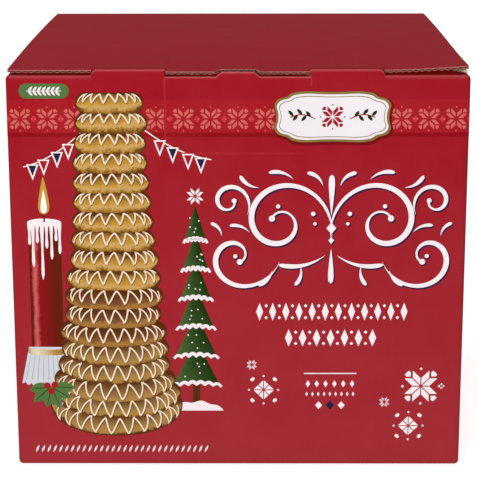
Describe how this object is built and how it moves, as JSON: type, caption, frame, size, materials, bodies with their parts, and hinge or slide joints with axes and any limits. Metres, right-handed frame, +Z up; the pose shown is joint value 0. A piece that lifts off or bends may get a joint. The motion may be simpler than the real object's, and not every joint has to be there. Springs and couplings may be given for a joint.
{
  "type": "printed cardboard cake carton",
  "caption": "Shut square carton of red printed corrugated board for a tall ring cake, its lid joined to the front wall by creased bridges.",
  "frame": {"origin": "middle of the underside, which the carton rests on", "axes": "+Z up; the printed front wall faces -Y, and +X is to the right as that wall is looked at"},
  "size_m": [0.2416, 0.2416, 0.219],
  "materials": {
    "printed_board": "satin varnished red print on corrugated board"
  },
  "bodies": {
    "root": {"carton": "printed_board"}
  },
  "joints": []
}
